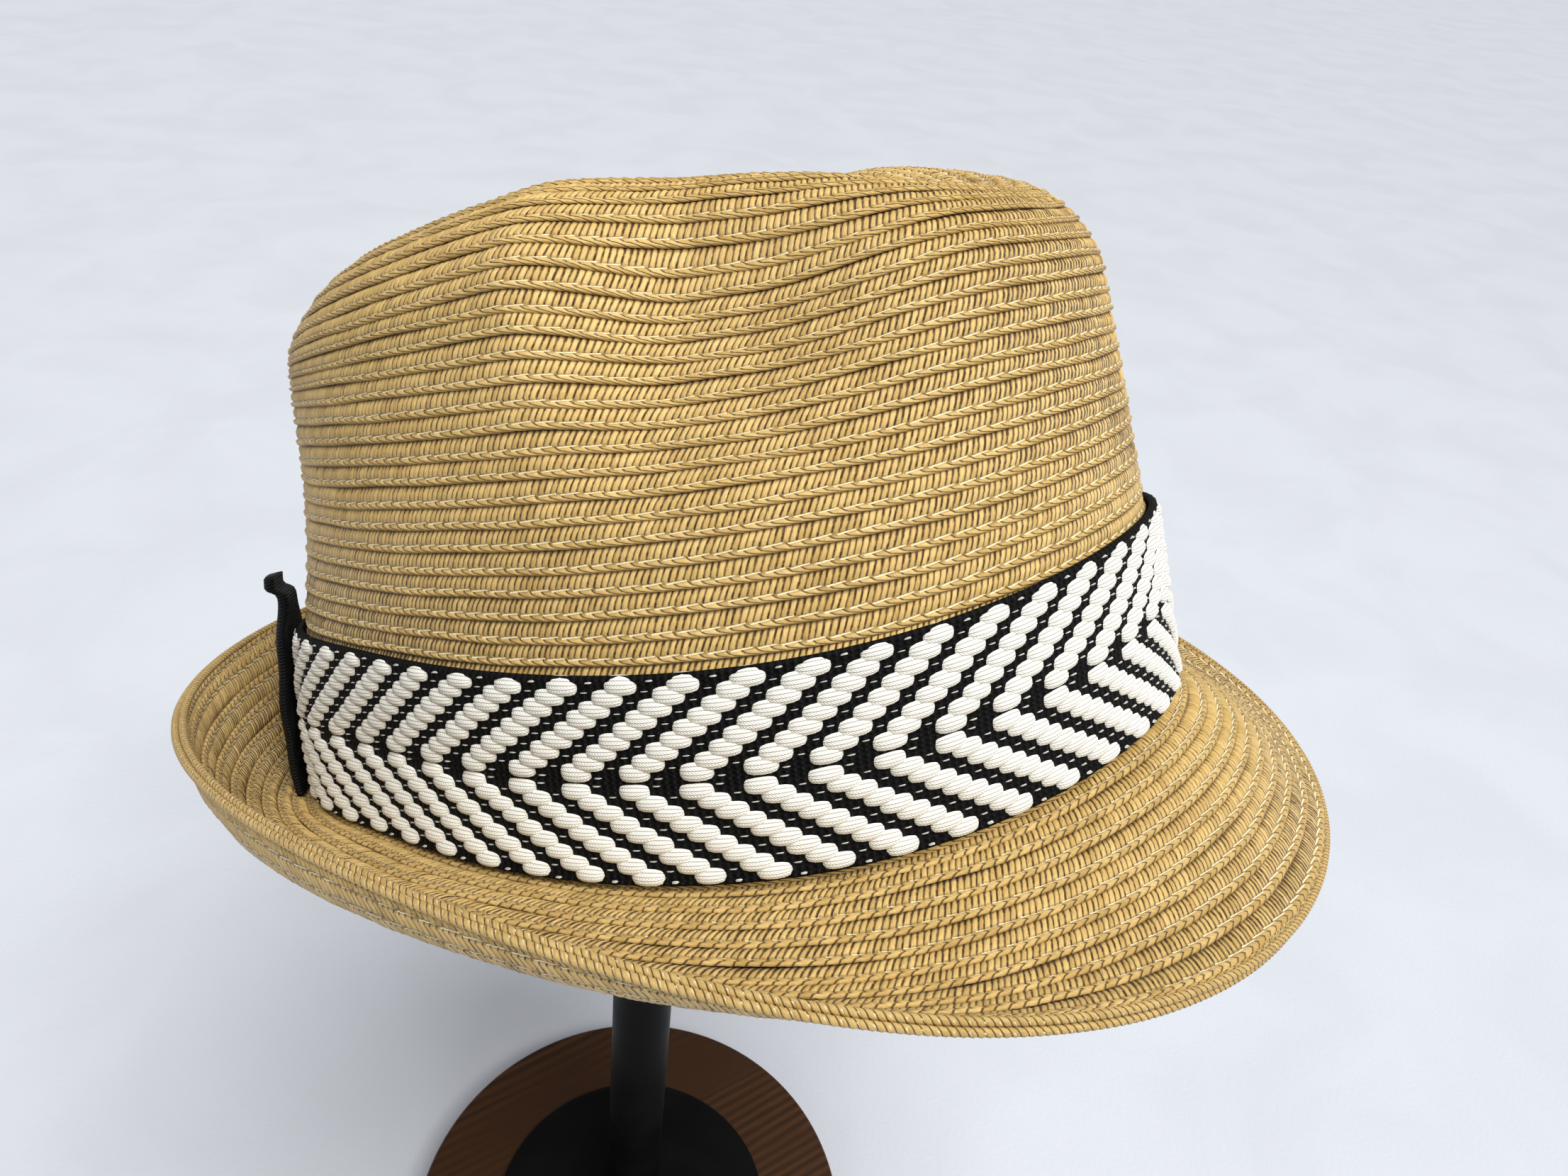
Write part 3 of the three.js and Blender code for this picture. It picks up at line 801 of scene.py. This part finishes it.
def makeCottonMaterial():
    # off-white cotton in fine threads that run the float's length; shade painted between the threads and at
    # the rim
    f = cottonFinish
    material, tree, shader = newMaterial("off-white cotton floats")
    along, across = uvParts(tree)
    thread = times(across, floatForm["threads"])
    line = ramped(apart(sums("FRACT", thread), 0.5), 0.32, 0.5)
    rim = ramped(apart(sums("FRACT", along), 0.5), 0.36, 0.5)
    twist = sums("SINE", times(plus(along, times(thread, 0.13)), f["twistPitch"]))
    grime = noiseAt(placeIn(tree), 120.0, 4.0)
    # painted shade between the threads and at the float's rim, with grime darkening it in patches
    shade = plus(times(line, f["lineShade"]), times(rim, f["rimShade"]))
    shade = plus(shade, times(minus(grime, 0.45), f["grimeShade"]), clamp=True)
    height = plus(times(line, -1.0), times(twist, 0.18))
    colour = blended(shade, f["cotton"], f["shade"])
    roughness = ramped(grime, 0.3, 0.7, f["roughness"])
    finishShader(shader, colour, roughness, f["specular"], f["sheen"], (height, *f["bump"]))
    return material


groundMaterial = makeWovenMaterial(
    "black woven ground", lambda column, height: (column, height), (0.5, 1.0), (0.0015, 0.0015, 0.0018),
    (0.0060, 0.0060, 0.0068), (0.03, 0.03, 0.032), 0.3, (0.85, 0.6), 0.12, (0.8, 0.0004))
cottonMaterial = makeCottonMaterial()


def makeBandGround():
    # one closed ring; its selvedges, the points closest to the surface, ripple with the weave
    b = bandForm
    heights, outs = np.array(b["section"]).T
    columns = b["repeats"] * b["groundPerRepeat"]
    at = np.linspace(0, b["repeats"] * b["perRepeat"], columns + 1)
    ripple = b["ripple"] * np.cos(fullTurn * at * 2)[:, None] * (np.abs(outs + 0.1) < 0.12)
    points = bandPoint(bandAngle(at)[:-1, None], heights[None, :], outs + ripple[:-1])
    uv = spanned(at[:, None], np.append(heights, heights[0]))
    makeTube("band_ground", onStand(points), uv, groundMaterial, ("band",), closed=True)


def makePillows(name, at, height, halfLength, halfHeight, rise, gridSize, threads, tiltOut, seed):
    # Small domes on the band, each a grid: superelliptic in both directions, ridged along its threads.
    # at is the column of each dome's middle, height its middle above the band's foot.
    f = pillowForm
    perColumn = bandForm["around"] / (bandForm["repeats"] * bandForm["perRepeat"])
    nx, ny = gridSize
    x = np.linspace(-1, 1, nx)[None, :, None]
    y = np.linspace(-1, 1, ny)[None, None, :]
    x = np.sign(x) * np.abs(x) ** 0.8
    sway = np.random.default_rng(seed).normal(0, 1, (3, len(at), 1, 1))
    sway = sway * np.array(f["wander"])[:, None, None, None]
    halfHeight, rise = (np.broadcast_to(value, at.shape)[:, None, None] for value in (halfHeight, rise))
    ends = (1 - np.abs(x) ** f["endPower"]) ** 0.5
    thin = f["thinnest"] + (1 - f["thinnest"]) * ends
    dx = x * halfLength * (1 + sway[0])
    dy = y * halfHeight * thin * (1 + sway[1]) + sway[2]
    dome = (1 - np.abs(x) ** 2.4) ** 0.6 * (1 - np.abs(y) ** 2.2) ** 0.6
    ridge = f["ridge"] * np.cos(np.pi * (y + 1) * threads) * (1 - np.abs(x) ** 4)
    lift = (rise + f["under"]) * dome - f["sink"] - tiltOut * y * ends
    lift = lift - ridge * f["ridgeDepth"] * (np.abs(y) < 0.99)
    column = np.mod(at[:, None, None] + dx / perColumn, bandForm["repeats"] * bandForm["perRepeat"])
    points = bandPoint(bandAngle(column), height[:, None, None] + dy, lift)
    one = gridQuads(nx, ny)
    quads = (one[None] + (np.arange(len(at)) * nx * ny)[:, None, None]).reshape(-1, 4)
    uvOne = spanned((x[0] + 1) / 2 * 0.998 + 0.001, np.clip((y[0] + 1) / 2, 0.001, 0.999)).reshape(-1, 2)
    uv = np.tile(uvOne[one].reshape(-1, 2), (len(at), 1))
    makePiece(name, onStand(points), quads, uv, cottonMaterial, ("band",), middle=hatMiddle)


def makeBandFloats():
    # nine rows of white floats above the middle line and nine below, each starting one column further on
    b, f, d = bandForm, floatForm, dashForm
    rows = np.arange(b["rowsEachSide"])
    starts = np.arange(b["repeats"]) * b["perRepeat"]
    at, height = [], []
    for side, start in ((1, f["upperStart"]), (-1, f["lowerStart"])):
        middles = b["middle"] + side * (b["middleHalf"] + b["rowPitch"] * (rows + 0.5))
        at.append((starts[:, None] + rows + start).ravel())
        height.append(np.tile(middles, b["repeats"]))
    at = np.concatenate(at)
    height = np.concatenate(height)
    upper = np.arange(len(at)) < len(at) // 2
    tall = f["halfHeight"] * np.where(upper, 1.0, f["lowerShare"])
    makePillows("band_floats", at, height, f["halfLength"], tall, f["rise"], f["grid"], f["threads"],
                f["tiltOut"], 3)
    # a slip of white in the middle of each black gap, and a row of dots along each selvedge
    dots = (d["upperDots"], d["lowerDots"])
    dashAt = np.concatenate([at + d["gapShift"], *(starts + shift for shift, _ in dots)])
    dashHeight = np.concatenate([height - np.where(upper, 1, -1) * d["gapSide"],
                                 *(np.full(len(starts), level) for _, level in dots)])
    atEdge = (np.arange(len(dashAt)) >= len(at)).astype(int)
    thick, rise = (np.array(d[key])[atEdge] for key in ("halfHeight", "rise"))
    makePillows("band_dashes", dashAt, dashHeight, d["halfLength"], thick, rise, d["grid"], 1, 0.0, 4)


makeBandGround()
makeBandFloats()
print("band done")


# The ribbon tab over the band's join

tabForm = {
    "angle": -150, "width": (15, 8), "neck": (37, 9), "top": 53, "foot": 1.0, "gap": 0.4, "wall": 2.4,
    "towardsFront": 5.0, "hookOut": 2.6, "hook": (45, 6), "hookDown": 1.4, "down": (47, 4), "lie": 1.25,
    "oval": (102, 85.5), "steps": 50, "sides": 32, "closed": 0.02,
}

ribbonMaterial = makeWovenMaterial(
    "black ribbon", lambda across, height: (height, across), (0.75, 0.6), (0.0020, 0.0028, 0.0035),
    (0.0060, 0.0075, 0.0090), (0.03, 0.032, 0.035), 0.25, (0.75, 0.5), 0.15, (0.7, 0.0003))


def makeTab():
    # a strip over the band's join with rolled sides, waisted above the band and hooked outwards at its top
    t = tabForm
    levels = np.linspace(t["foot"], t["top"], t["steps"])
    height = np.concatenate([[t["foot"] - 0.4], levels, [t["top"] + 0.3]])
    level = height[:, None]
    ring = np.arange(t["sides"]) / t["sides"]
    # across runs -1 to 1 on the outer side and back on the inner one
    outer = ring < 0.5
    across = np.where(outer, -np.cos(ring * fullTurn), np.cos((ring - 0.5) * fullTurn))
    rounded = np.sqrt(np.clip(1 - across ** 6, 0, 1))
    width = between(t["width"], risen(level, *t["neck"])) * (1 + 0.05 * np.sin(level * 0.33 + 1))
    width = width * np.where((level < t["foot"]) | (level > t["top"]), t["closed"], 1.0)
    hook = t["hookOut"] * risen(level, *t["hook"]) ** 2
    lie = t["lie"] + 0.35 * np.sin(level * 0.21) ** 2 + t["gap"] + t["wall"] / 2
    thick = t["wall"] / 2 * rounded * np.where(outer, 1, -1)
    out = lie + thick + hook + 0.12 * np.cos(across * 9) * outer
    middle = math.radians(t["angle"])
    perMm = 1 / math.hypot(t["oval"][0] * math.sin(middle), t["oval"][1] * math.cos(middle))
    skew = 0.6 * np.sin(level * 0.12)
    wider = t["towardsFront"] * (0.5 + 0.5 * across)
    a = middle + (across * width / 2 + skew + wider) * perMm
    points = bandPoint(a, level - t["hookDown"] * risen(level, *t["down"]), out)
    uv = spanned(np.append(across, across[0]) * t["width"][0] / 2, level)
    makeTube("band_tab_ribbon", onStand(points), uv, ribbonMaterial, ("band_tab",))


makeTab()
print("tab done")


# The stand

standForm = {
    "base": {"radius": 88.5, "top": 18.0, "round": 2.2, "footRound": 1.2},
    "flange": {"radius": 55.7, "foot": 18.3, "height": 6.0, "collar": 17.0, "hole": 10.6},
    "pole": {"radius": 10.3, "foot": 24.6, "top": 393.0, "rings": (120, 240)},
    "rest": {"radius": 35.0, "foot": 393.3, "top": 413.5, "ball": 46.0},
    "sharpFrom": 38,
    # dark and pale tone, roughness, scale of the specks, strength of their bump
    "paint": ((0.004, 0.004, 0.0045), (0.006, 0.006, 0.0065), (0.34, 0.44), 900.0, 0.12),
    "plastic": ((0.012, 0.012, 0.012), (0.02, 0.02, 0.02), (0.42, 0.55), 1500.0, 0.25),
}
walnutFinish = {
    "turn": 38, "slow": (5.0, 26.0, 30.0), "fine": (40.0, 1500.0, 700.0), "ringPitch": 1500.0, "waver": 16.0,
    "ringDark": (0.024, 0.0105, 0.0045), "ringPale": (0.078, 0.034, 0.0125), "patch": (0.044, 0.018, 0.007),
    "pore": (0.018, 0.008, 0.004), "roughness": (0.34, 0.5), "specular": 0.18,
}


def turnedPiece(name, profile, sides, material, node):
    # a profile of radius and height, from axis to axis, turned round the pole's line
    radius, height = np.array(profile, float)[1:-1].T
    a = fullTurn * np.arange(sides) / sides
    points = spanned(radius[:, None] * np.cos(a), radius[:, None] * np.sin(a), height[:, None])
    length = runAlong(np.stack([radius, height], axis=-1))
    uv = spanned(np.arange(sides + 1) / sides * 100, length[:, None])
    piece = makeTube(name, points, uv, material, (node,))
    # the flat ends and the tight corners shade as flats
    piece.data.set_sharp_from_angle(angle=math.radians(standForm["sharpFrom"]))


def corner(x, z, radius, fromAngle, toAngle, steps=4):
    # points of a rounded corner about its middle
    angle = np.radians(np.linspace(fromAngle, toAngle, steps))
    return [(x + radius * math.cos(k), z + radius * math.sin(k)) for k in angle]


def makeWalnut():
    # straight grain: sine rings cut along their length and bent by slow noise, with fine pores
    f = walnutFinish
    material, tree, shader = newMaterial("oiled walnut")
    place = placeIn(tree)
    mapping = addNode(tree, "ShaderNodeMapping")
    joinAll((place, (0.0, 0.0, math.radians(f["turn"]))), mapping, ("Vector", "Rotation"))
    parts = parted(mapping.outputs[0])
    slow = noiseAt(stretched(parts, f["slow"]), 1.0, 4.0, 0.5, 0.6)
    lines = plus(times(parts[1], f["ringPitch"]), times(slow, f["waver"]))
    rings = plus(times(sums("SINE", lines), 0.5), 0.5)
    pores = ramped(noiseAt(stretched(parts, f["fine"]), 1.0, 3.0), 0.60, 0.72)
    colour = blended(rings, f["ringDark"], f["ringPale"])
    colour = blended(ramped(slow, 0.3, 0.7), colour, f["patch"])
    colour = blended(times(pores, 0.7), colour, f["pore"])
    finish = useGroup(tree, handledGroup, {"Vector": place})
    finishShader(shader, colour, ramped(finish["Mark"], 0.0, 1.0, f["roughness"]), f["specular"], 0.0,
                 (minus(times(rings, 0.2), pores), 0.35, 0.00012))
    return material


def makeBlack(name, dark, pale, roughness, speckScale, strength):
    # painted or moulded black: orange-peel specks and faint wiping marks
    material, tree, shader = newMaterial(name)
    finish = useGroup(tree, handledGroup, {"Vector": placeIn(tree), "Speck Scale": speckScale})
    mark = finish["Mark"]
    finishShader(shader, blended(mark, dark, pale), ramped(mark, 0.0, 1.0, roughness), 0.05, 0.0,
                 (finish["Speck"], strength, 0.0002))
    return material


def makeStand():
    base, flange, pole, rest = (standForm[k] for k in ("base", "flange", "pole", "rest"))
    r, top, e, f = base["radius"], base["top"], base["round"], base["footRound"]
    profile = [(0, 0), (r - 2.2, 0), *corner(r - f, f, f, -90, 0, 6), *corner(r - e, top - e, e, 0, 90, 9),
               (r - 6, top), (24, top), (0, top)]
    turnedPiece("stand_base_disc", profile, 128, makeWalnut(), "stand_base")
    r, z, h = flange["radius"], flange["foot"], flange["height"]
    # a low dome: the height follows a half cosine between the rim and the collar
    dome = [(r - 0.5 - (r - flange["collar"]) * k, z + 2.0 + (h - 2.0) * math.sin(k * math.pi / 2) ** 0.9)
            for k in np.linspace(0, 1, 15)]
    profile = [(0, z), (r - 0.6, z), *corner(r - 0.5, z + 0.5, 0.5, -90, 0), (r, z + 1.6), *dome,
               (flange["hole"], z + h), (0, z + h)]
    black = makeBlack("black satin paint", *standForm["paint"])
    turnedPiece("stand_flange_dome", profile, 112, black, "stand_flange")
    r, z, top = pole["radius"], pole["foot"], pole["top"]
    rings = [(r, z + k) for k in pole["rings"]]
    profile = [(0, z), (r - 0.5, z), *corner(r - 0.5, z + 0.5, 0.5, -90, 0), *rings,
               *corner(r - 0.5, top - 0.5, 0.5, 0, 90), (0, top)]
    turnedPiece("stand_pole_rod", profile, 72, black, "stand_pole")
    r, z, top, ball = rest["radius"], rest["foot"], rest["top"], rest["ball"]
    # the top is part of a ball, cut off where it meets the rim
    low = math.sqrt(ball ** 2 - (r - 1) ** 2)
    middle = top - ball
    arc = corner(0, middle, ball, math.degrees(math.asin(low / ball)), 90, 14)[:-1]
    profile = [(0, z), (r - 1.4, z), *corner(r - 1, z + 1, 1.0, -90, 0), (r, middle + low - 1.2), *arc,
               (1.2, top - 0.01), (0, top)]
    plastic = makeBlack("black moulded plastic", *standForm["plastic"])
    turnedPiece("stand_rest_dome", profile, 72, plastic, "stand_rest")


makeStand()
print("stand done")


# Floor, lights and camera

stageLook = {
    "floor": (0.595, 0.625, 0.685), "floorShade": 0.95, "floorSize": 60.0, "floorDrop": 0.0004,
    "world": (0.97, 0.98, 1.0), "worldStrength": 0.24,
    "sun": 3.6, "sunAngle": 40.0, "sunColour": (1.0, 0.985, 0.96), "sunWay": (0.30, 0.36, -0.88),
    "top": 3.0, "topSize": 0.7, "topPlace": (0.25, -0.45, 1.35), "topColour": (0.99, 0.99, 1.0),
    "topAim": (0.0, -0.03, 0.36),
}


def makeFloor():
    # a wide sheet of pale fleece
    look = stageLook
    bpy.ops.mesh.primitive_plane_add(size=look["floorSize"], location=(0, 0, -look["floorDrop"]))
    floor = bpy.context.object
    floor.name = "pale_floor"
    material, tree, shader = newMaterial("pale fleece")
    place = placeIn(tree)
    pile = noiseAt(place, 420.0, 4.0, 0.6)
    nap = noiseAt(place, 9.0, 3.0, 0.5, 0.5)
    shaded = tuple(x * look["floorShade"] for x in look["floor"])
    colour = blended(ramped(nap, 0.35, 0.7), look["floor"], shaded)
    height = plus(times(pile, 0.3), times(nap, 2.0))
    finishShader(shader, colour, ramped(pile, 0.3, 0.7, (0.85, 0.95)), 0.5, 0.2, (height, 0.35, 0.002))
    floor.data.materials.append(material)


def addLight(name, kind, power, colour, way):
    # shines along way
    light = bpy.data.lights.new(name, kind)
    light.energy = power
    light.color = colour
    lamp = addObject(name, light)
    lamp.rotation_euler = Vector(way).to_track_quat("-Z", "Y").to_euler()
    return lamp


def makeLights():
    look = stageLook
    world = bpy.context.scene.world or bpy.data.worlds.new("studio")
    bpy.context.scene.world = world
    world.use_nodes = True
    background = world.node_tree.nodes["Background"]
    joinAll(((*look["world"], 1.0), look["worldStrength"]), background, ("Color", "Strength"))
    sun = addLight("window_soft", "SUN", look["sun"], look["sunColour"], look["sunWay"])
    sun.data.angle = math.radians(look["sunAngle"])
    way = np.array(look["topAim"]) - np.array(look["topPlace"])
    top = addLight("top_soft", "AREA", look["top"], look["topColour"], way)
    top.location = look["topPlace"]
    top.data.shape = "DISK"
    top.data.size = look["topSize"]


# from the match with the photograph: place, and the image's right and down directions, in the part's frame
cameraMatch = {"place": (-240.0, -90.7, 521.6), "right": (0.3027, -0.9477, 0.1015),
               "down": (-0.5222, -0.2540, -0.8141), "lens": 27.016, "sensor": 36.0}


def makeCamera():
    m = cameraMatch
    right = unit(np.array(m["right"]))
    forward = unit(np.cross(right, unit(np.array(m["down"]))))
    camera = bpy.data.cameras.new("photo_camera")
    camera.lens = m["lens"]
    camera.sensor_width = m["sensor"]
    camera.clip_start = 0.01
    holder = addObject("photo_camera", camera)
    axes = np.eye(4)
    axes[:3] = np.stack([right, np.cross(right, forward), -forward, np.array(m["place"]) * 0.001], axis=-1)
    holder.matrix_world = Matrix(axes.tolist())
    bpy.context.scene.camera = holder
    bpy.context.scene.view_settings.view_transform = "Standard"


makeFloor()
makeLights()
makeCamera()
print("stage done")
